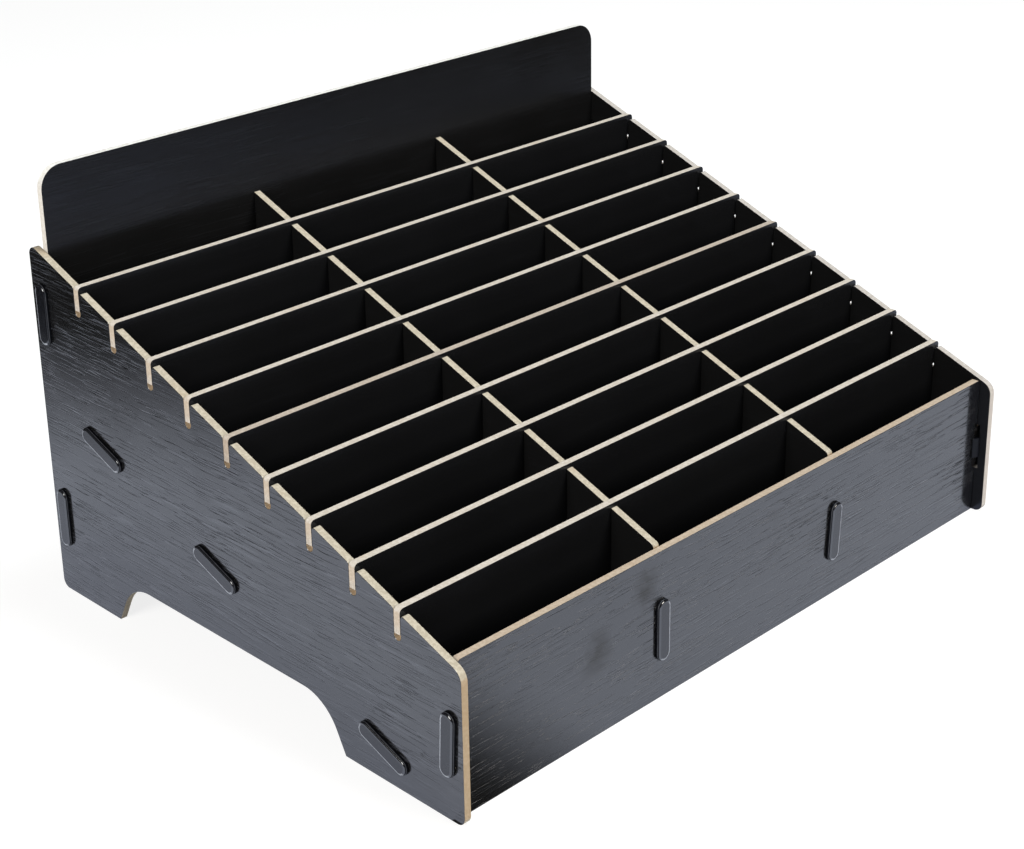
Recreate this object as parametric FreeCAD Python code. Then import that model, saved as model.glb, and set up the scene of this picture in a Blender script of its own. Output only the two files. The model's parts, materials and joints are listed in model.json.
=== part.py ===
"""Knock-down phone rack of thin laminated boards: stepped rows of phone slots on a sloping floor.

Millimetres. X runs to the right seen from the front, Y to the back, Z up. The origin lies on the ground,
midway between the side panels and midway between their front and rear edges.
"""
import FreeCAD, Part
import math
import os

Vec = FreeCAD.Vector
SMALLEST_EDGE = 1e-6

# Boards and overall form
BOARD = 3.0                # thickness of every board
WIDTH = 310.0              # over the outer faces of the side panels
DEPTH = 233.0              # side panels, front edge to rear edge
FRONT_EDGE_HEIGHT = 58.0   # sloping top line of the side panels at their front edge
REAR_EDGE_HEIGHT = 147.5   # the same line at their rear edge
FRONT_INSET = 5.0          # front panel's face behind the side panels' front edges
BACK_INSET = 5.3           # back panel's rear face ahead of the side panels' rear edges
BACK_RISE = 33.5           # back panel's top above the sloping line
BACK_CORNER_R = 9.0        # top corners of the back panel
FRONT_SIDE_GAP = 0.2       # each end of the front panel to the side panel beside it
BACK_SIDE_GAP = 0.1        # each end of the back panel to the side panel beside it

# Feet, arch and corners of the side panels
FRONT_FOOT = 59.2
REAR_FOOT = 39.2
ARCH_HEIGHT = 19.1
ARCH_SIDE_DEG = 63.0       # slant of the arch's two legs
ARCH_R = 19.0
FOOT_R = 3.5
FRONT_TOP_R = 5.5
REAR_TOP_R = 3.0

# Sloping floor
FLOOR_LIFT = 0.6           # lowest edge of the floor above the ground
FLOOR_END_GAP = 0.3        # floor to the front and back panels
FLOOR_SIDE_GAP = 0.2       # floor to the side panels

# Rows and columns of phone slots
ROWS = 10
COLUMNS = 3
END_ROW_EXTRA = 1.5        # the first and last rows are this much wider than the others
ROW_RISE = 0.5             # row divider's top above the sloping line at its rear face
SLIDE_GAP = 0.15           # each side of a row divider in its slots and notches
TAB_HEIGHT = 9.6           # tab at each end of a row divider
SLOT_EXTRA = 2.4           # side panel's slot goes this far below the tab
MOUTH_R = 1.2              # rounded mouth of a slot
CORNER_R = 1.7             # rounded corners of the dividers and of the front panel
ROW_SIDE_GAP = 0.4         # row divider's body to the side panels
ROW_FLOOR_GAP = 0.5        # row divider above the floor
COLUMN_END_GAP = 0.1       # shoulders of a column divider to the front and back panels

# Tongues, their slots, and the snap clips that straddle them
TONGUE_LENGTH = 18.0
SLOT_LENGTH = 20.0
LEG_THICK = 1.2
LEG_WIDTH = 9.0
LEG_GAP = 0.1              # leg to the tongue, and leg to the slot's wall
LEG_ROOT = 1.0             # leg carried into the head
LEG_TIP = 0.5              # leg's thickness at its tapered tip
BARB_REACH = 0.6
BARB_LENGTH = 3.2
HEAD_SIDE_LAP = 0.55       # head over each long side of the slot
HEAD_END_LAP = 2.5         # head over each end of the slot
HEAD_HEIGHT = 2.0
HEAD_BEVEL = 1.0

# Places of the tongues and clips
FRONT_TONGUE_Z = 29.5      # front panel's tongue above the ground
BACK_LOW_TONGUE_Z = 33.3   # back panel's lower tongue above the ground
BACK_HIGH_DROP = 27.5      # back panel's upper tongue below the top of the side panels
COLUMN_TONGUE_RISE = 24.9  # column dividers' tongues above the floor
FLOOR_END_TONGUE = 38.5    # first and last floor tongues from the side panels' edges
FLOOR_MIDDLE_TONGUE = 11.0 # middle floor tongue behind the middle of the depth

# Places that follow from the sizes above
HALF_WIDTH = WIDTH / 2
INNER_HALF = HALF_WIDTH - BOARD
FRONT_EDGE = -DEPTH / 2
REAR_EDGE = DEPTH / 2
FRONT_FACE = FRONT_EDGE + FRONT_INSET
FRONT_INSIDE = FRONT_FACE + BOARD
BACK_REAR = REAR_EDGE - BACK_INSET
BACK_INSIDE = BACK_REAR - BOARD
SLOPE = (REAR_EDGE_HEIGHT - FRONT_EDGE_HEIGHT) / DEPTH
TILT = math.atan(SLOPE)
COLUMN_CLEAR = (2 * INNER_HALF - (COLUMNS - 1) * BOARD) / COLUMNS
COLUMN_PITCH = COLUMN_CLEAR + BOARD
ROW_CLEAR = (BACK_INSIDE - FRONT_INSIDE - 2 * END_ROW_EXTRA - (ROWS - 1) * BOARD) / ROWS
ROW_PITCH = ROW_CLEAR + BOARD
ROW_SLOT = BOARD + 2 * SLIDE_GAP
TONGUE_SLOT = BOARD + 2 * (LEG_THICK + 2 * LEG_GAP)
FLOOR_FRONT = FRONT_INSIDE + FLOOR_END_GAP + BOARD * math.sin(TILT)
FLOOR_REAR = BACK_INSIDE - FLOOR_END_GAP
FLOOR_TONGUES = {
    "rear": REAR_EDGE - FLOOR_END_TONGUE,
    "middle": FLOOR_MIDDLE_TONGUE,
    "front": FRONT_EDGE + FLOOR_END_TONGUE,
}
BACK_TONGUES = {"back_low": BACK_LOW_TONGUE_Z, "back_high": REAR_EDGE_HEIGHT - BACK_HIGH_DROP}

RIGHT = Vec(1, 0, 0)
BACK = Vec(0, 1, 0)
UP = Vec(0, 0, 1)
UPHILL = Vec(0, math.cos(TILT), math.sin(TILT))
OFF_FLOOR = Vec(0, -math.sin(TILT), math.cos(TILT))


def slope_height(y):
    """Height of the sloping top line."""
    return FRONT_EDGE_HEIGHT + SLOPE * (y - FRONT_EDGE)


def floor_underside(y):
    return FLOOR_LIFT + SLOPE * (y - FLOOR_FRONT)


def floor_top(y):
    return floor_underside(y) + BOARD / math.cos(TILT)


def row_y(row):
    """Middle of the row divider in front of the given row, counted from the back."""
    return BACK_INSIDE - END_ROW_EXTRA - row * ROW_PITCH + BOARD / 2


def row_top(row):
    return slope_height(row_y(row) + BOARD / 2) + ROW_RISE


def row_bottom(row):
    return floor_top(row_y(row) + BOARD / 2) + ROW_FLOOR_GAP


def tab_slot_bottom(row):
    return row_top(row) - TAB_HEIGHT - SLOT_EXTRA


def row_lap(row):
    """Height where a row divider sits down on the column dividers."""
    return (row_top(row) + row_bottom(row)) / 2


def column_x(column):
    """Middle of the column divider to the right of the given column, counted from the left."""
    return column * COLUMN_PITCH - BOARD / 2 - INNER_HALF


def outline(corners, origin, along, up):
    """Closed wire through (u, v, radius) corners; a radius turns its corner into a tangent arc."""
    points = [origin + along * u + up * v for u, v, radius in corners]
    edges = []
    ends = []
    for i, here in enumerate(points):
        radius = corners[i][2]
        before = (points[i - 1] - here).normalize()
        after = (points[(i + 1) % len(points)] - here).normalize()
        half = before.getAngle(after) / 2
        run = radius / math.tan(half)
        start = here + before * run
        stop = here + after * run
        ends.append((start, stop))
        if radius > 0:
            crown = here + (before + after).normalize() * (radius / math.sin(half) - radius)
            edges.append(Part.Arc(start, crown, stop).toShape())
    for i, (start, stop) in enumerate(ends):
        if ends[i - 1][1].distanceToPoint(start) > SMALLEST_EDGE:
            edges.append(Part.makeLine(ends[i - 1][1], start))
    return Part.Wire(Part.sortEdges(edges)[0])


def plate(corners, origin, along, up, through):
    """Flat piece with the given outline, as thick as the vector through."""
    return Part.Face(outline(corners, origin, along, up)).extrude(through)


def mirrored(corners):
    return [(-u, v, radius) for u, v, radius in reversed(corners)]


def tongues(edge, tip, centres):
    """Corners up an edge of a board whose tongues reach from the edge to the tip."""
    corners = []
    for centre in sorted(centres):
        low = centre - TONGUE_LENGTH / 2
        high = centre + TONGUE_LENGTH / 2
        corners += [(edge, low, 0), (tip, low, 0), (tip, high, 0), (edge, high, 0)]
    return corners


def oblong(length, width, radius):
    u = length / 2
    v = width / 2
    return [(-u, -v, radius), (u, -v, radius), (u, v, radius), (-u, v, radius)]


def slope_notches(bottom_of, bottom_r, mouth_r):
    """Corners of the slots that the row dividers drop into, along the sloping line from back to front."""
    corners = []
    for row in range(1, ROWS):
        rear = row_y(row) + ROW_SLOT / 2
        front = row_y(row) - ROW_SLOT / 2
        bottom = bottom_of(row)
        corners.append((rear, slope_height(rear), mouth_r))
        corners.append((rear, bottom, bottom_r))
        corners.append((front, bottom, bottom_r))
        corners.append((front, slope_height(front), mouth_r))
    return corners


class Joint:
    """One tongue's place: the middle of its slot on an outer face, and the directions there."""

    def __init__(self, centre, along, out):
        self.centre = centre
        self.along = along
        self.out = out
        self.across = along.cross(out)

    def slot(self):
        """Cutter for the slot through the outer board."""
        corners = oblong(SLOT_LENGTH, TONGUE_SLOT, 0)
        return plate(corners, self.centre, self.along, self.across, self.out * -BOARD)

    def leg(self, side):
        """One barbed leg of the clip, beside the tongue."""
        inner = BOARD / 2 + LEG_GAP
        outer = inner + LEG_THICK
        catch = BOARD + LEG_GAP
        tip = catch + BARB_LENGTH
        profile = [
            (inner, -LEG_ROOT, 0),
            (outer, -LEG_ROOT, 0),
            (outer, catch, 0),
            (outer + BARB_REACH, catch, 0),
            (inner + LEG_TIP, tip, 0),
            (inner, tip, 0),
        ]
        start = self.centre - self.along * (LEG_WIDTH / 2)
        return plate(profile, start, self.across * side, -self.out, self.along * LEG_WIDTH)

    def clip(self):
        """Snap clip: a long rounded head on the outer face, with two barbed legs astride the tongue."""
        length = SLOT_LENGTH + 2 * HEAD_END_LAP
        width = TONGUE_SLOT + 2 * HEAD_SIDE_LAP
        corners = oblong(length, width, width / 2)
        head = plate(corners, self.centre, self.along, self.across, self.out * HEAD_HEIGHT)
        top = max(head.Faces, key=lambda face: face.CenterOfMass.dot(self.out))
        head = head.makeChamfer(HEAD_BEVEL, top.Edges)
        return head.fuse([self.leg(1), self.leg(-1)]).removeSplitter()


def floor_joint(y, side):
    """Where one of the floor's tongues passes through a side panel."""
    middle = (floor_underside(y) + floor_top(y)) / 2
    return Joint(Vec(side * HALF_WIDTH, y, middle), UPHILL, RIGHT * side)


def side_joints(side):
    """Every tongue that passes through one side panel, by the place it has in the clip's name."""
    x = side * HALF_WIDTH
    joints = {"front": Joint(Vec(x, FRONT_FACE + BOARD / 2, FRONT_TONGUE_Z), UP, RIGHT * side)}
    for place, z in BACK_TONGUES.items():
        joints[place] = Joint(Vec(x, BACK_INSIDE + BOARD / 2, z), UP, RIGHT * side)
    for place, y in FLOOR_TONGUES.items():
        joints["floor_" + place] = floor_joint(y, side)
    return joints


def column_joints(face, out):
    """The column dividers' tongues in the front or the back panel."""
    inside = face - out.y * BOARD
    z = floor_top(inside) + COLUMN_TONGUE_RISE
    return [Joint(Vec(column_x(column), face, z), UP, out) for column in range(1, COLUMNS)]


def cut_slots(board, joints):
    return board.cut([joint.slot() for joint in joints])


def side_panel(side):
    front_foot = FRONT_EDGE + FRONT_FOOT
    rear_foot = REAR_EDGE - REAR_FOOT
    lean = ARCH_HEIGHT / math.tan(math.radians(ARCH_SIDE_DEG))
    corners = [
        (FRONT_EDGE, 0, FOOT_R),
        (front_foot, 0, 0),
        (front_foot + lean, ARCH_HEIGHT, ARCH_R),
        (rear_foot - lean, ARCH_HEIGHT, ARCH_R),
        (rear_foot, 0, 0),
        (REAR_EDGE, 0, FOOT_R),
        (REAR_EDGE, REAR_EDGE_HEIGHT, REAR_TOP_R),
    ]
    corners += slope_notches(tab_slot_bottom, ROW_SLOT / 2, MOUTH_R)
    corners.append((FRONT_EDGE, FRONT_EDGE_HEIGHT, FRONT_TOP_R))
    outer_face = Vec(side * HALF_WIDTH, 0, 0)
    board = plate(corners, outer_face, BACK, UP, RIGHT * (-side * BOARD))
    return cut_slots(board, side_joints(side).values())


def front_panel():
    top = slope_height(FRONT_FACE)
    half = INNER_HALF - FRONT_SIDE_GAP
    right = [(half, 0, 0)]
    right += tongues(half, HALF_WIDTH, [FRONT_TONGUE_Z])
    right.append((half, top, CORNER_R))
    corners = right + mirrored(right)
    board = plate(corners, Vec(0, FRONT_FACE, 0), RIGHT, UP, BACK * BOARD)
    return cut_slots(board, column_joints(FRONT_FACE, -BACK))


def back_panel():
    top = slope_height(BACK_INSIDE) + BACK_RISE
    half = INNER_HALF - BACK_SIDE_GAP
    right = [(half, 0, 0)]
    right += tongues(half, HALF_WIDTH, BACK_TONGUES.values())
    right.append((half, top, BACK_CORNER_R))
    corners = right + mirrored(right)
    board = plate(corners, Vec(0, BACK_INSIDE, 0), RIGHT, UP, BACK * BOARD)
    return cut_slots(board, column_joints(BACK_REAR, BACK))


def floor_panel():
    """Sloping board, drawn on its underside from its front edge uphill."""
    origin = Vec(0, FLOOR_FRONT, FLOOR_LIFT)
    centres = [(floor_joint(y, 1).centre - origin).dot(UPHILL) for y in FLOOR_TONGUES.values()]
    half = INNER_HALF - FLOOR_SIDE_GAP
    right = [(half, 0, 0)]
    right += tongues(half, HALF_WIDTH, centres)
    right.append((half, (FLOOR_REAR - FLOOR_FRONT) / math.cos(TILT), 0))
    return plate(right + mirrored(right), origin, RIGHT, UPHILL, OFF_FLOOR * BOARD)


def column_divider(column):
    """Board along the columns: it stands on the floor and is tongued into the front and back panels."""
    front = FRONT_INSIDE + COLUMN_END_GAP
    rear = BACK_INSIDE - COLUMN_END_GAP
    corners = [(front, floor_top(front), 0), (rear, floor_top(rear), 0)]
    corners += tongues(rear, BACK_REAR, [floor_top(BACK_INSIDE) + COLUMN_TONGUE_RISE])
    corners.append((rear, slope_height(rear), 0))
    corners += slope_notches(row_lap, 0, 0)
    corners.append((front, slope_height(front), CORNER_R))
    corners += reversed(tongues(front, FRONT_FACE, [floor_top(FRONT_INSIDE) + COLUMN_TONGUE_RISE]))
    face = Vec(column_x(column) - BOARD / 2, 0, 0)
    return plate(corners, face, BACK, UP, RIGHT * BOARD)


def row_divider(row):
    """Board across the columns: lapped over the column dividers, with a tab in each side panel's slot."""
    top = row_top(row)
    bottom = row_bottom(row)
    body = INNER_HALF - ROW_SIDE_GAP
    corners = [(-body, bottom, 0)]
    for column in range(1, COLUMNS):
        left = column_x(column) - ROW_SLOT / 2
        right = column_x(column) + ROW_SLOT / 2
        corners += [(left, bottom, 0), (left, row_lap(row), 0), (right, row_lap(row), 0), (right, bottom, 0)]
    corners += [
        (body, bottom, 0),
        (body, top - TAB_HEIGHT, 0),
        (HALF_WIDTH, top - TAB_HEIGHT, 0),
        (HALF_WIDTH, top, CORNER_R),
        (-HALF_WIDTH, top, CORNER_R),
        (-HALF_WIDTH, top - TAB_HEIGHT, 0),
        (-body, top - TAB_HEIGHT, 0),
    ]
    return plate(corners, Vec(0, row_y(row) - BOARD / 2, 0), RIGHT, UP, BACK * BOARD)


def every_piece():
    pieces = {
        "left_side_panel": side_panel(-1),
        "right_side_panel": side_panel(1),
        "front_panel": front_panel(),
        "back_panel": back_panel(),
        "floor_panel": floor_panel(),
    }
    for column in range(1, COLUMNS):
        pieces[f"column_divider_{column}"] = column_divider(column)
    for row in range(1, ROWS):
        pieces[f"row_divider_{row}"] = row_divider(row)
    for name, side in (("left", -1), ("right", 1)):
        for place, joint in side_joints(side).items():
            pieces[f"clip_{name}_{place}"] = joint.clip()
    for name, joints in (
        ("front", column_joints(FRONT_FACE, -BACK)),
        ("back", column_joints(BACK_REAR, BACK)),
    ):
        for column, joint in enumerate(joints, 1):
            pieces[f"clip_{name}_column_{column}"] = joint.clip()
    return pieces


os.makedirs("parts", exist_ok=True)
for name, shape in every_piece().items():
    shape.exportStep(f"parts/{name}.step")
    print(f"{name}: {len(shape.Solids)} solid, {shape.Volume:.1f} mm3, valid {shape.isValid()}")
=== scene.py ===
import json
from math import atan2, cos, radians, sin

import bmesh
import bpy
from mathutils import Matrix, Vector

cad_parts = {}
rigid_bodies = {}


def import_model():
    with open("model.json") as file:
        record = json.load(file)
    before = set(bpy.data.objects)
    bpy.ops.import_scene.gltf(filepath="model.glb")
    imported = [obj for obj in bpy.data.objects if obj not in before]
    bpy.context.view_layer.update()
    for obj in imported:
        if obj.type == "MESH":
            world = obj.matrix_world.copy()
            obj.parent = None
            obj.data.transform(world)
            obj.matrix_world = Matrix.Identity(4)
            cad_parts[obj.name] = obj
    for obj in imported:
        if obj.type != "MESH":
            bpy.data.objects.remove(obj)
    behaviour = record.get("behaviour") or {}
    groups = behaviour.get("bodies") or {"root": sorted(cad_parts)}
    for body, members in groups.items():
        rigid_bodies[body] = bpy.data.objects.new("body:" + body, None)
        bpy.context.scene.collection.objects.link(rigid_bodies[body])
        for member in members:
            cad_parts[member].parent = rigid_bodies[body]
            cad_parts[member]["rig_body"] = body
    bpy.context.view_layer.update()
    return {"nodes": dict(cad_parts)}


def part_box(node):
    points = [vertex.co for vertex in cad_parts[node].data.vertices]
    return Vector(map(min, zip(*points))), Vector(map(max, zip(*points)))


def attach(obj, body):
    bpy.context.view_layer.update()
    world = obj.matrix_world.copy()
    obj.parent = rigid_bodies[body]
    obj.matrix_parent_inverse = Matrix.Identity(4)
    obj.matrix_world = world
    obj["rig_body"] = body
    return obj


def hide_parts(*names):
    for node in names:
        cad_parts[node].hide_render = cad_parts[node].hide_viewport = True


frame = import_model()

# Lengths are in metres, as in the frame.
MERGE = 1e-6
NEARLY_FLAT = radians(1)
FILM = 0.00008
FLAT_FACE = 0.99
CUT_FACE = 0.2
BOARD_CREASE = 32
CLIP_CREASE = 16
SHADING_WEIGHT = 90

# A board's materials, and a clip's, in the order that their meshes hold them.
AHEAD, BEHIND, CUT = range(3)
SIDES, TOP, PAINTED_FAR_EDGE, PAINTED_NEAR_EDGE, SHOULDER = range(5)

# A snap clip: its head, and the legs that go through the board.
HEAD_LENGTH = 0.0250
HEAD_WIDTH = 0.0067
CAD_HEAD_HEIGHT = 0.0020
HEAD_HEIGHT = 0.0017
HEAD_BEVEL = 0.00068
HEAD_TOP_ROUND = 0.00044
HEAD_EDGE_ROUND = 0.00016
HEAD_FOOT_ROUND = 0.0003
TOP_STEPS = 5
EDGE_STEPS = 2
FOOT_STEPS = 3
TOP_FACE = 0.999
BEVEL_LEAN = 0.73
HIGHLIGHT_SIDE = 0.05
HEAD_SIDES = 40
HEAD_LEAN = {"clip_left_front": -3.0, "clip_front_column_2": -3.5}
LEG_ROOT = 0.0004
LEG_INNER = 0.0016
LEG_THICK = 0.0012
LEG_WIDTH = 0.009
LEG_TIP = 0.0005
CATCH = 0.0031
BARB_REACH = 0.0006
BARB_LENGTH = 0.0032
LEG_ROUND = 0.0002
LEG_STEPS = 2

# Directions, and the sloping line that the side panels' top edges follow.
ALONG_X, ALONG_Y = range(2)
RIGHT = Vector((1, 0, 0))
REARWARD = Vector((0, 1, 0))
UP = Vector((0, 0, 1))
DEPTH = 0.233
REAR_EDGE_HEIGHT = 0.1475
FRONT_EDGE_HEIGHT = 0.058
FLOOR_TILT = atan2(REAR_EDGE_HEIGHT - FRONT_EDGE_HEIGHT, DEPTH)
UPHILL = Vector((0, cos(FLOOR_TILT), sin(FLOOR_TILT)))
OFF_FLOOR = Vector((0, -sin(FLOOR_TILT), cos(FLOOR_TILT)))
SLOPE_LEVEL = OFF_FLOOR.dot((0, -DEPTH / 2, FRONT_EDGE_HEIGHT))
SLOT_TOP = SLOPE_LEVEL - 0.0080
SLOT_END = SLOPE_LEVEL - 0.0125
SLOT_FADE = 0.001

# The black film. Noise scales are per metre, and a range is a ramp's low, high and what they become.
# A gloss is an IOR, a sleek and a dull roughness and a tint. A finger mark is a place, reach and strength.
OUTER_BLACK = ((0.0042, 0.0042, 0.0046, 1), (0.0075, 0.0075, 0.0080, 1))
INNER_BLACK = ((0.0060, 0.0060, 0.0061, 1), (0.0080, 0.0080, 0.0081, 1))
ROW_BLACK = ((0.0060, 0.0062, 0.0068, 1), (0.0080, 0.0083, 0.0090, 1))
GRAIN_SWAY = (14.0, 0.0022)
GRAIN_RIPPLE = (70.0, 0.0005)
PORES_ACROSS = 1400.0
PORES_ALONG = 36.0
PORE_RANGE = (0.55, 0.62)
CLUSTERS_ACROSS = 110.0
CLUSTERS_ALONG = 14.0
CLUSTER_RANGE = (0.36, 0.58, 0.40, 1.0)
RIM_SHIFT = (0.3, 0.3, 0.3)
FILM_SKIN = 2400.0
SKIN_HEIGHT = 0.06
CLOUDS = 26.0
CLOUD_RANGE = (0.3, 0.7)
SMUDGES = 120.0
SMUDGE_RANGE = (0.30, 0.62, 0.35, 1.0)
PORE_STRENGTH = 0.8
PORE_DEPTH = 0.00012
PORE_DULL = 0.10
PORE_RIM = (0.050, 0.054, 0.066, 1)
COOL_TINT = (0.95, 0.97, 1.0, 1)
DEEP_TINT = (0.68, 0.76, 1.0, 1)
OUTER_GLOSS = (1.88, 0.115, 0.15, COOL_TINT)
FRONT_GLOSS = (1.82, 0.115, 0.15, COOL_TINT)
INNER_GLOSS = (1.40, 0.20, 0.26, DEEP_TINT)
BACK_GLOSS = (1.37, 0.20, 0.26, DEEP_TINT)
FINGER_MARKS = (((-0.086, -0.1115, 0.034), 0.016, 0.50), ((-0.061, -0.1115, 0.045), 0.013, 0.34),
                ((-0.059, -0.1115, 0.053), 0.013, 0.34), ((0.0135, -0.1115, 0.045), 0.011, 0.22),
                ((0.0125, -0.1115, 0.032), 0.010, 0.20))

# The bare core at a cut edge, with random patches, and painted light and shade: faces turned to the front
# and left, and the slot bottoms, are tinted toward a third colour.
FIBRES = 800.0
FIBRE_RANGE = (0.40, 0.65)
FIBRE_SHEEN = (0.3, 0.7, 0.78, 0.92)
FIBRE_STRENGTH = 0.35
FIBRE_DEPTH = 0.00010
CORE_IOR = 1.4
PATCHES = 75.0
PATCH_RANGE = (0.56, 0.80, 0.0, 0.30)
# Painted light on faces turned to the front and to the left; painted shade on the up-facing slot bottoms.
FRONT_PAINTED_LIGHT = (-0.93, -1.0, 0.0, 0.60)
LEFT_PAINTED_LIGHT = (-0.93, -1.0, 0.0, 0.36)
SLOT_PAINTED_SHADE = (0.1, 0.6, 0.0, 0.55)

# The clips' plastic, and the greys of the painted highlights along its heads' edges.
PLASTIC_BLACK = (0.0030, 0.0034, 0.0052, 1)
PLASTIC_SCUFF = (0.0055, 0.0061, 0.0090, 1)
# Painted highlights: pale along a clip head's far shoulder, grey along the foot of its bevel.
FAR_PAINTED_HIGHLIGHT = ((0.20, 0.215, 0.25, 1), (0.31, 0.33, 0.38, 1))
NEAR_PAINTED_HIGHLIGHT = ((0.022, 0.024, 0.029, 1), (0.045, 0.049, 0.058, 1))
PLASTIC_SKIN = 900.0
SCUFFS = 160.0
SCUFF_RANGE = (0.35, 0.75)
HIGHLIGHT_MOTTLE = 700.0
HIGHLIGHT_MOTTLE_RANGE = (0.35, 0.65)
HIGHLIGHT_ROUGHNESS = (0.30, 0.45)
SKIN_STRENGTH = 0.12
HIGHLIGHT_BUMP = 0.2
SKIN_DEPTH = 0.00005

# The paper floor, the lamps and the room. A fall is a heading, and where the paper's fade starts and ends.
PAPER_RADIUS = 6.0
PAPER_SIDES = 96
PAPER_DROP = 0.0001
PAPER_WHITE = (0.86, 0.86, 0.86, 1)
PAPER_FAINT = (0.27, 0.27, 0.27, 1)
PAPER_DARK = (0.02, 0.02, 0.02, 1)
PAPER_PLAIN = (1, 1, 1, 1)
PAPER_COOL = (0.76, 0.82, 1.0, 1)
PAPER_GLOW = 0.83
LEFT_FALL = ((-0.85, 0.53, 0), 0.26, 0.47)
FRONT_FALL = ((0.60, -0.80, 0), 0.26, 0.58)
FOOT_SHADE_BLACK = (0.01, 0.01, 0.01, 1)
FOOT_SHADE_ROUGHNESS = 0.9
FOOT_SHADE_RUN = 0.78
FOOT_SHADE_RISE = 0.67
LAMP_AIM = Vector((0, 0, 0.05))
ROOM_LEVEL = 0.09

# The camera, at the photograph's viewing angle.
SENSOR_WIDTH = 36.0
LENS = 70.351
SHIFT = (0.04089, -0.13266)
NEAREST = 0.01
CAMERA_PLACE = (-0.5302461, -0.5156403, 0.4000116)
CAMERA_RIGHT = (0.7152830, -0.6984968, -0.0217335)
CAMERA_UP = (0.2654390, 0.2427862, 0.9330579)
CAMERA_BACK = (-0.6464614, -0.6731694, 0.3590691)


class Finish:
    """A procedural finish: one surface shader and the nodes that feed it."""

    def __init__(self, name):
        self.material = bpy.data.materials.new(name)
        self.material.use_nodes = True
        self.tree = self.material.node_tree
        self.surface = self.tree.nodes["Principled BSDF"]
        self.place = self.add("TexCoord").outputs["Object"]

    def add(self, kind, inputs=None, **settings):
        node = self.tree.nodes.new("ShaderNode" + kind)
        for name, value in settings.items():
            setattr(node, name, value)
        for socket, value in (inputs or {}).items():
            self.feed(node, socket, value)
        return node

    def feed(self, node, socket, value):
        if isinstance(value, bpy.types.NodeSocket):
            self.tree.links.new(value, node.inputs[socket])
        else:
            node.inputs[socket].default_value = value

    def give(self, **sockets):
        for name, value in sockets.items():
            self.feed(self.surface, name.replace("_", " "), value)

    def stretched(self, vector, scale):
        return self.add("Mapping", {"Vector": vector, "Scale": scale}).outputs["Vector"]

    def noise(self, vector, scale=1.0, detail=2.0, roughness=0.5):
        node = self.add("TexNoise", {"Vector": vector, "Scale": scale, "Detail": detail,
                                     "Roughness": roughness})
        return node.outputs["Fac"]

    def ramp(self, value, low, high, to_low=0.0, to_high=1.0):
        node = self.add("MapRange", {"Value": value, "From Min": low, "From Max": high, "To Min": to_low,
                                     "To Max": to_high}, interpolation_type="SMOOTHSTEP")
        return node.outputs["Result"]

    def math(self, operation, a, b):
        return self.add("Math", {0: a, 1: b}, operation=operation).outputs["Value"]

    def blend(self, amount, a, b):
        node = self.add("Mix", {0: amount, 6: a, 7: b}, data_type="RGBA")
        return node.outputs[2]

    def combine(self, operation, a, b, result="Vector"):
        return self.add("VectorMath", {0: a, 1: b}, operation=operation).outputs[result]

    def wander(self, vector, scale, reach):
        drift = self.add("TexNoise", {"Vector": vector, "Scale": scale, "Detail": 1.0}).outputs["Color"]
        centred = self.combine("SUBTRACT", drift, (0.5, 0.5, 0.5))
        return self.combine("ADD", vector, self.combine("MULTIPLY", centred, (reach, reach, reach)))

    def emboss(self, height, strength, distance):
        node = self.add("Bump", {"Strength": strength, "Distance": distance, "Height": height})
        return node.outputs["Normal"]


def lengthwise(along, across_scale, along_scale):
    """Scales that draw a pattern out along one axis."""
    scale = [across_scale] * 3
    scale[along] = along_scale
    return scale


def laminate(name, along, blacks, relief, rim, gloss, marks=()):
    """Black film embossed with pale-rimmed wood pores along the board; each mark is a dull finger mark."""
    film = Finish(name)
    ior, sleek, dull, tint = gloss
    flow = film.wander(film.wander(film.place, *GRAIN_SWAY), *GRAIN_RIPPLE)
    stretched = film.stretched(flow, lengthwise(along, PORES_ACROSS, PORES_ALONG))
    beside = film.combine("ADD", stretched, RIM_SHIFT)
    groups = film.noise(film.stretched(flow, lengthwise(along, CLUSTERS_ACROSS, CLUSTERS_ALONG)))
    clusters = film.ramp(groups, *CLUSTER_RANGE)
    pores = film.math("MULTIPLY", film.ramp(film.noise(stretched, detail=1.0), *PORE_RANGE), clusters)
    shifted = film.math("MULTIPLY", film.ramp(film.noise(beside, detail=1.0), *PORE_RANGE), clusters)
    rims = film.math("MAXIMUM", film.math("SUBTRACT", shifted, pores), 0.0)
    skin = film.noise(film.place, FILM_SKIN)
    clouds = film.noise(film.place, CLOUDS, detail=3.0)
    height = film.math("SUBTRACT", film.math("MULTIPLY", skin, SKIN_HEIGHT), pores)
    sheen = film.ramp(clouds, *CLOUD_RANGE, sleek, dull)
    rough = film.math("ADD", sheen, film.math("MULTIPLY", pores, PORE_DULL * relief))
    smudge = film.ramp(film.noise(film.place, SMUDGES), *SMUDGE_RANGE)
    for spot, reach, strength in marks:
        away = film.combine("DISTANCE", film.place, spot, "Value")
        mark = film.ramp(away, 0.0, reach, strength, 0.0)
        rough = film.math("ADD", rough, film.math("MULTIPLY", smudge, mark))
    colour = film.blend(film.math("MULTIPLY", rims, rim), film.blend(clouds, *blacks), PORE_RIM)
    film.give(Base_Color=colour, Roughness=rough, IOR=ior, Specular_Tint=tint,
              Normal=film.emboss(height, PORE_STRENGTH * relief, PORE_DEPTH))
    return film.material


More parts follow.
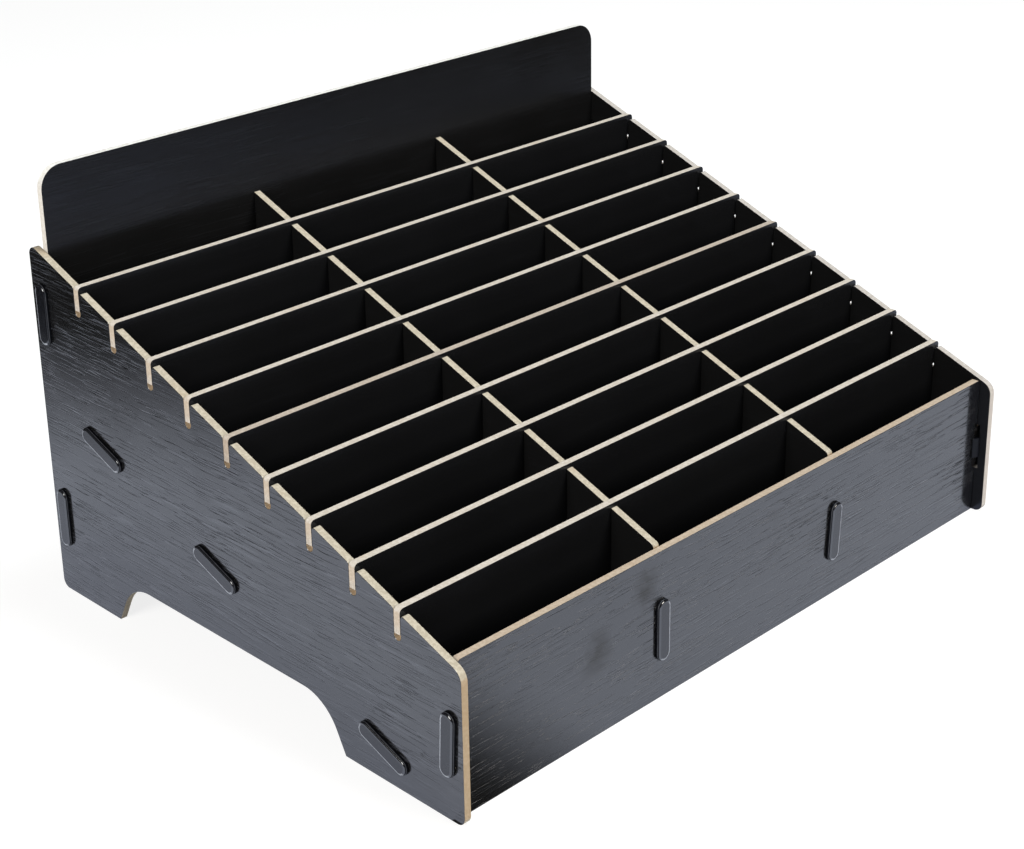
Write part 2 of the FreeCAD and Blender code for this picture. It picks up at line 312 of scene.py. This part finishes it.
def bare_core(name, pale, tan, patch_and_painted_light):
    """Pressed fibre at a cut edge: speckled, with random patches, and painted light and shade on faces
    turned to the front and left and on the slot bottoms.
    """
    core = Finish(name)
    specks = core.noise(core.place, FIBRES, detail=3.0, roughness=0.6)
    patches = core.noise(core.place, PATCHES, detail=3.0)
    facing = core.add("SeparateXYZ", {0: core.add("NewGeometry").outputs["Normal"]}).outputs
    level = core.combine("DOT_PRODUCT", core.place, OFF_FLOOR, "Value")
    # Painted light and shade: the slot bottoms below the tabs take the third colour, darker than the pale on
    # most cores.
    slot_shade = core.math("MULTIPLY", core.ramp(level, SLOT_TOP, SLOT_TOP - SLOT_FADE),
                      core.ramp(level, SLOT_END, SLOT_END + SLOT_FADE))
    slot_shade = core.math("MULTIPLY", slot_shade, core.ramp(facing["Z"], *SLOT_PAINTED_SHADE))
    colour = core.blend(core.ramp(specks, *FIBRE_RANGE), tan, pale)
    colour = core.blend(core.ramp(patches, *PATCH_RANGE), colour, patch_and_painted_light)
    # Painted light: faces turned to the front and to the left take the third colour.
    colour = core.blend(core.ramp(facing["Y"], *FRONT_PAINTED_LIGHT), colour, patch_and_painted_light)
    colour = core.blend(core.ramp(facing["X"], *LEFT_PAINTED_LIGHT), colour, patch_and_painted_light)
    colour = core.blend(slot_shade, colour, patch_and_painted_light)
    core.give(Base_Color=colour, Roughness=core.ramp(specks, *FIBRE_SHEEN), IOR=CORE_IOR,
              Normal=core.emboss(specks, FIBRE_STRENGTH, FIBRE_DEPTH))
    return core.material


def clip_black(name, ior, sleek, dull):
    """Moulded black plastic with a fine skin and a few soft scuffs."""
    plastic = Finish(name)
    skin = plastic.noise(plastic.place, PLASTIC_SKIN)
    scuffs = plastic.noise(plastic.place, SCUFFS, detail=4.0, roughness=0.6)
    plastic.give(Base_Color=plastic.blend(scuffs, PLASTIC_BLACK, PLASTIC_SCUFF),
                 Roughness=plastic.ramp(scuffs, *SCUFF_RANGE, sleek, dull), IOR=ior,
                 Specular_Tint=COOL_TINT, Normal=plastic.emboss(skin, SKIN_STRENGTH, SKIN_DEPTH))
    return plastic.material


def painted_highlight_edge(name, greys):
    """The same plastic, painted pale or grey along the edge of a head as a painted highlight."""
    edge = Finish(name)
    mottle = edge.noise(edge.place, HIGHLIGHT_MOTTLE, detail=3.0, roughness=0.6)
    edge.give(Base_Color=edge.blend(edge.ramp(mottle, *HIGHLIGHT_MOTTLE_RANGE), *greys),
              Roughness=edge.ramp(mottle, *HIGHLIGHT_MOTTLE_RANGE, *HIGHLIGHT_ROUGHNESS),
              Normal=edge.emboss(mottle, HIGHLIGHT_BUMP, SKIN_DEPTH))
    return edge.material


def merged_copy(node):
    """The CAD solid as one closed skin of flat faces."""
    bm = bmesh.new()
    bm.from_mesh(frame["nodes"][node].data)
    bmesh.ops.remove_doubles(bm, verts=bm.verts, dist=MERGE)
    bmesh.ops.dissolve_limit(bm, angle_limit=NEARLY_FLAT, verts=bm.verts, edges=bm.edges)
    return bm


def eased(bm, edges, offset, segments):
    bmesh.ops.bevel(bm, geom=edges, offset=offset, offset_type="OFFSET", segments=segments, profile=0.5,
                    affect="EDGES", material=-1, clamp_overlap=True)


def finished_piece(bm, node, materials, crease):
    """A mesh that takes a CAD node's place, on the same body."""
    mesh = bpy.data.meshes.new(node + "_dressed")
    bm.to_mesh(mesh)
    bm.free()
    for material in materials:
        mesh.materials.append(material)
    mesh.shade_smooth()
    mesh.set_sharp_from_angle(angle=radians(crease))
    piece = bpy.data.objects.new(node + "_dressed", mesh)
    bpy.context.scene.collection.objects.link(piece)
    even = piece.modifiers.new("even_shading", "WEIGHTED_NORMAL")
    even.keep_sharp = True
    even.weight = SHADING_WEIGHT
    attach(piece, frame["nodes"][node]["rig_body"])
    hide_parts(node)
    return piece


def dress_board(node, across, film_ahead, film_behind, core):
    """A board with a film on each face, ahead and behind along across, and the bare core along every cut."""
    bm = merged_copy(node)
    bm.normal_update()

    def is_face(face):
        return abs(face.normal.dot(across)) > FLAT_FACE

    rims = [edge for edge in bm.edges
            if len(edge.link_faces) == 2 and is_face(edge.link_faces[0]) != is_face(edge.link_faces[1])]
    eased(bm, rims, FILM, 1)
    bm.normal_update()
    for face in bm.faces:
        lean = face.normal.dot(across)
        if abs(lean) < CUT_FACE:
            face.material_index = CUT
        else:
            face.material_index = AHEAD if lean > 0 else BEHIND
    return finished_piece(bm, node, [film_ahead, film_behind, core], BOARD_CREASE)


def clip_head(bm, lean, highlight_heading):
    """The long head: a wall, a bevel and a flat top; its shoulder is painted pale on the given side and the
    foot of its bevel grey, as painted highlights.
    """
    half_step = Matrix.Rotation(radians(180 / HEAD_SIDES), 4, "Z")
    bmesh.ops.create_circle(bm, cap_ends=True, segments=HEAD_SIDES, radius=HEAD_WIDTH / 2, matrix=half_step)
    reach = (HEAD_LENGTH - HEAD_WIDTH) / 2
    for end in (1, -1):
        bmesh.ops.translate(bm, verts=[v for v in bm.verts if v.co.x * end > 0], vec=(end * reach, 0, 0))
    grown = bmesh.ops.extrude_face_region(bm, geom=bm.faces[:])["geom"]
    lifted = [v for v in grown if isinstance(v, bmesh.types.BMVert)]
    bmesh.ops.translate(bm, verts=lifted, vec=(0, 0, HEAD_HEIGHT))
    bmesh.ops.recalc_face_normals(bm, faces=bm.faces)

    def ring(level):
        return [e for e in bm.edges if all(abs(v.co.z - level) < MERGE for v in e.verts)]

    eased(bm, ring(HEAD_HEIGHT), HEAD_BEVEL, 1)
    bevel_foot = HEAD_HEIGHT - HEAD_BEVEL
    eased(bm, ring(HEAD_HEIGHT), HEAD_TOP_ROUND, TOP_STEPS)
    eased(bm, ring(bevel_foot), HEAD_EDGE_ROUND, EDGE_STEPS)
    eased(bm, ring(0), HEAD_FOOT_ROUND, FOOT_STEPS)
    bm.normal_update()
    for face in bm.faces:
        middle = face.calc_center_median()
        outward = Vector((middle.x - max(-reach, min(reach, middle.x)), middle.y)).normalized()
        # Shoulder faces on the given side take the painted pale highlight, the bevel's foot the painted grey
        # highlight.
        if face.normal.z > TOP_FACE:
            face.material_index = TOP
        elif face.normal.z > BEVEL_LEAN:
            face.material_index = PAINTED_FAR_EDGE if outward.dot(highlight_heading) > HIGHLIGHT_SIDE else SHOULDER
        elif abs(middle.z - bevel_foot) < HEAD_EDGE_ROUND:
            face.material_index = PAINTED_NEAR_EDGE
        else:
            face.material_index = SIDES
    bmesh.ops.rotate(bm, verts=bm.verts, matrix=Matrix.Rotation(radians(lean), 3, "Z"))


def clip_leg(bm, side):
    """A springy leg beside the tongue, with the barb that catches behind the board."""
    outer = LEG_INNER + LEG_THICK
    tip = CATCH + BARB_LENGTH
    profile = [(LEG_INNER, LEG_ROOT), (outer, LEG_ROOT), (outer, -CATCH), (outer + BARB_REACH, -CATCH),
               (LEG_INNER + LEG_TIP, -tip), (LEG_INNER, -tip)]
    leg = bm.faces.new([bm.verts.new((-LEG_WIDTH / 2, side * y, z)) for y, z in profile])
    grown = bmesh.ops.extrude_face_region(bm, geom=[leg])["geom"]
    far = [v for v in grown if isinstance(v, bmesh.types.BMVert)]
    bmesh.ops.translate(bm, verts=far, vec=(LEG_WIDTH, 0, 0))
    corners = list(leg.verts) + far
    faces = list(dict.fromkeys(face for v in corners for face in v.link_faces))
    bmesh.ops.recalc_face_normals(bm, faces=faces)
    eased(bm, list(dict.fromkeys(edge for face in faces for edge in face.edges)), LEG_ROUND, LEG_STEPS)


def dress_clip(node, along, out):
    """A snap clip: a long rounded head outside, and two barbed legs through the board."""
    bm = bmesh.new()
    sideways = out.cross(along)
    # Painted highlight side: low and to the rear on side clips, low and to the right on front and back
    # clips.
    highlight_from = (REARWARD if out.x else RIGHT) - UP
    highlight_heading = Vector((highlight_from.dot(along), highlight_from.dot(sideways))).normalized()
    clip_head(bm, HEAD_LEAN.get(node, 0.0), highlight_heading)
    clip_leg(bm, 1)
    clip_leg(bm, -1)
    low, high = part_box(node)
    seat = (low + high) / 2
    crown = max(low.dot(out), high.dot(out))
    seat += out * (crown - CAD_HEAD_HEIGHT - seat.dot(out))
    turn = Matrix((along, sideways, out)).transposed().to_4x4()
    bmesh.ops.transform(bm, verts=bm.verts, matrix=Matrix.Translation(seat) @ turn)
    materials = [CLIP, CLIP_TOP, CLIP_FAR_HIGHLIGHT, CLIP_NEAR_HIGHLIGHT, CLIP_SHOULDER]
    return finished_piece(bm, node, materials, CLIP_CREASE)


CLIP = clip_black("clip_black_plastic", ior=1.22, sleek=0.08, dull=0.15)
CLIP_TOP = clip_black("clip_top_skin", ior=1.60, sleek=0.20, dull=0.28)
CLIP_SHOULDER = clip_black("clip_polished_shoulder", ior=2.00, sleek=0.14, dull=0.18)
# Painted highlight lines along the clip heads' edges.
CLIP_FAR_HIGHLIGHT = painted_highlight_edge("clip_painted_far_highlight", FAR_PAINTED_HIGHLIGHT)
CLIP_NEAR_HIGHLIGHT = painted_highlight_edge("clip_painted_near_highlight", NEAR_PAINTED_HIGHLIGHT)
SIDE_FILM = laminate("side_panel_film", ALONG_Y, OUTER_BLACK, relief=1.05, rim=0.62, gloss=OUTER_GLOSS)
FRONT_FILM = laminate("front_panel_film", ALONG_X, OUTER_BLACK, relief=1.10, rim=0.12, gloss=FRONT_GLOSS,
                      marks=FINGER_MARKS)
COLUMN_FILM = laminate("column_divider_film", ALONG_Y, INNER_BLACK, relief=0.07, rim=0.02, gloss=INNER_GLOSS)
ROW_FILM = laminate("row_divider_film", ALONG_X, ROW_BLACK, relief=0.07, rim=0.02, gloss=INNER_GLOSS)
BACK_FILM = laminate("back_panel_film", ALONG_X, INNER_BLACK, relief=0.15, rim=0.05, gloss=BACK_GLOSS)
REAR_FILM = laminate("back_panel_outer_film", ALONG_X, OUTER_BLACK, relief=0.8, rim=0.3, gloss=FRONT_GLOSS)
SIDE_CORE = bare_core("side_board_core", (0.500, 0.452, 0.365, 1), (0.396, 0.350, 0.272, 1),
                      (0.400, 0.262, 0.140, 1))
ROW_CORE = bare_core("row_board_core", (0.590, 0.540, 0.485, 1), (0.495, 0.440, 0.378, 1),
                     (0.450, 0.320, 0.200, 1))
# The right panel's core is a greyer, cooler copy toned for the cool, stronger light on its edges, painted
# light and shade; its third colour, lighter than its pale, paints a highlight on faces turned to the front.
RIGHT_CORE = bare_core("right_board_core", (0.495, 0.466, 0.442, 1), (0.416, 0.382, 0.353, 1),
                       (0.585, 0.538, 0.505, 1))
DARK_CORE = bare_core("dark_board_core", (0.490, 0.425, 0.365, 1), (0.405, 0.342, 0.282, 1),
                      (0.360, 0.260, 0.180, 1))
FRONT_CORE = bare_core("front_board_core", (0.485, 0.400, 0.315, 1), (0.405, 0.320, 0.240, 1),
                       (0.350, 0.240, 0.145, 1))
BACK_CORE = bare_core("back_board_core", (0.800, 0.790, 0.770, 1), (0.680, 0.660, 0.625, 1),
                      (0.560, 0.500, 0.430, 1))

CLIP_OUT = {"left": -RIGHT, "right": RIGHT, "front": -REARWARD, "back": REARWARD}

BOARDS = {
    "left_side_panel": (RIGHT, COLUMN_FILM, SIDE_FILM, SIDE_CORE),
    "right_side_panel": (RIGHT, SIDE_FILM, COLUMN_FILM, RIGHT_CORE),
    "back_panel": (REARWARD, REAR_FILM, BACK_FILM, BACK_CORE),
    "front_panel": (REARWARD, ROW_FILM, FRONT_FILM, FRONT_CORE),
    "floor_panel": (OFF_FLOOR, ROW_FILM, ROW_FILM, SIDE_CORE),
    "column_divider": (RIGHT, COLUMN_FILM, COLUMN_FILM, SIDE_CORE),
    "row_divider": (REARWARD, ROW_FILM, ROW_FILM, ROW_CORE),
    "row_divider_5": (REARWARD, ROW_FILM, ROW_FILM, DARK_CORE),
}

for name in frame["nodes"]:
    if name.startswith("clip_"):
        dress_clip(name, UPHILL if "_floor_" in name else UP, CLIP_OUT[name.split("_")[1]])
    else:
        kind = name if name in BOARDS else name.rstrip("_0123456789")
        dress_board(name, *BOARDS[kind])


def stage_sheet(name, bm, material):
    mesh = bpy.data.meshes.new(name)
    bm.to_mesh(mesh)
    bm.free()
    mesh.materials.append(material)
    sheet = bpy.data.objects.new(name, mesh)
    bpy.context.scene.collection.objects.link(sheet)
    return sheet


def paper_floor():
    """A white sheet that keeps the rack's soft shadow and, in the gloss, darkens to the left and front."""
    bm = bmesh.new()
    bmesh.ops.create_circle(bm, cap_ends=True, segments=PAPER_SIDES, radius=PAPER_RADIUS)
    bmesh.ops.translate(bm, verts=bm.verts, vec=(0, 0, -PAPER_DROP))
    paper = Finish("white_paper")
    paper.tree.nodes.remove(paper.surface)
    lit = paper.add("BsdfDiffuse", {"Color": PAPER_WHITE}).outputs["BSDF"]
    faint = paper.add("BsdfDiffuse", {"Color": PAPER_FAINT}).outputs["BSDF"]
    glow = paper.add("Emission", {"Color": PAPER_PLAIN, "Strength": PAPER_GLOW}).outputs["Emission"]
    seen = paper.add("AddShader", {0: faint, 1: glow}).outputs["Shader"]
    cool_glow = paper.add("Emission", {"Color": PAPER_COOL, "Strength": PAPER_GLOW}).outputs["Emission"]
    cool = paper.add("AddShader", {0: faint, 1: cool_glow}).outputs["Shader"]
    shade = paper.add("BsdfDiffuse", {"Color": PAPER_DARK}).outputs["BSDF"]
    bright = 1.0
    for heading, near, far in (LEFT_FALL, FRONT_FALL):
        out = paper.combine("DOT_PRODUCT", paper.place, heading, "Value")
        bright = paper.math("MULTIPLY", bright, paper.ramp(out, near, far, 1.0, 0.0))
    mirrored = paper.add("MixShader", {0: bright, 1: shade, 2: cool}).outputs["Shader"]
    path = paper.add("LightPath").outputs
    direct = paper.math("MAXIMUM", path["Is Camera Ray"], path["Is Transmission Ray"])
    mixed = paper.add("MixShader", {0: path["Is Glossy Ray"], 1: lit, 2: mirrored}).outputs["Shader"]
    mixed = paper.add("MixShader", {0: direct, 1: mixed, 2: seen}).outputs["Shader"]
    paper.feed(paper.tree.nodes["Material Output"], "Surface", mixed)
    paper.material.cycles.emission_sampling = "NONE"
    stage_sheet("paper_floor", bm, paper.material)


def foot_shade(left, right, front, rear, lift):
    """Shade on the paper beside the left foot, which only shows in the gloss of the front panel."""
    bm = bmesh.new()
    corners = ((left, front), (right, front), (right, rear), (left, rear))
    bm.faces.new([bm.verts.new((x, y, lift)) for x, y in corners])
    shade = Finish("foot_shade")
    shade.give(Base_Color=FOOT_SHADE_BLACK, Roughness=FOOT_SHADE_ROUGHNESS)
    place = shade.add("SeparateXYZ", {0: shade.place}).outputs
    fade_start = right - FOOT_SHADE_RUN * (right - left)
    full_at = front + FOOT_SHADE_RISE * (rear - front)
    dense = shade.math("MULTIPLY", shade.ramp(place["X"], fade_start, right, 1.0, 0.0),
                       shade.ramp(place["Y"], front, full_at))
    clear = shade.add("BsdfTransparent").outputs["BSDF"]
    mixed = shade.add("MixShader", {0: dense, 1: clear, 2: shade.surface.outputs["BSDF"]}).outputs["Shader"]
    shade.feed(shade.tree.nodes["Material Output"], "Surface", mixed)
    sheet = stage_sheet("foot_shade", bm, shade.material)
    for ray in ("camera", "diffuse", "shadow", "transmission", "volume_scatter"):
        setattr(sheet, "visible_" + ray, False)


def softbox(name, place, size, power, colour):
    lamp = bpy.data.lights.new(name, "AREA")
    lamp.shape = "SQUARE"
    lamp.size = size
    lamp.energy = power
    lamp.color = colour
    box = bpy.data.objects.new(name, lamp)
    box.location = place
    box.rotation_euler = (LAMP_AIM - Vector(place)).to_track_quat("-Z", "Y").to_euler()
    bpy.context.scene.collection.objects.link(box)


def room_light():
    world = bpy.data.worlds.new("studio_room")
    world.use_nodes = True
    colour = (ROOM_LEVEL, ROOM_LEVEL, ROOM_LEVEL, 1)
    world.node_tree.nodes["Background"].inputs["Color"].default_value = colour
    bpy.context.scene.world = world


def camera():
    data = bpy.data.cameras.new("camera")
    data.sensor_fit = "HORIZONTAL"
    data.sensor_width = SENSOR_WIDTH
    data.lens = LENS
    data.shift_x, data.shift_y = SHIFT
    data.clip_start = NEAREST
    view = bpy.data.objects.new("camera", data)
    turn = Matrix((CAMERA_RIGHT, CAMERA_UP, CAMERA_BACK)).transposed()
    view.matrix_world = Matrix.Translation(CAMERA_PLACE) @ turn.to_4x4()
    bpy.context.scene.collection.objects.link(view)
    bpy.context.scene.camera = view


paper_floor()
foot_shade(left=-0.156, right=-0.075, front=-0.220, rear=-0.1105, lift=0.0002)
softbox("top_softbox", (0.30, -0.25, 1.5), size=0.5, power=17.5, colour=(0.93, 0.99, 1.0))
softbox("left_softbox", (-1.5, -0.2, 0.8), size=0.7, power=20.5, colour=(1.0, 0.97, 0.92))
softbox("front_softbox", (0.3, -1.5, 0.8), size=0.7, power=14.0, colour=(1.0, 0.93, 0.85))
room_light()
camera()

bpy.context.scene.view_settings.view_transform = "Standard"
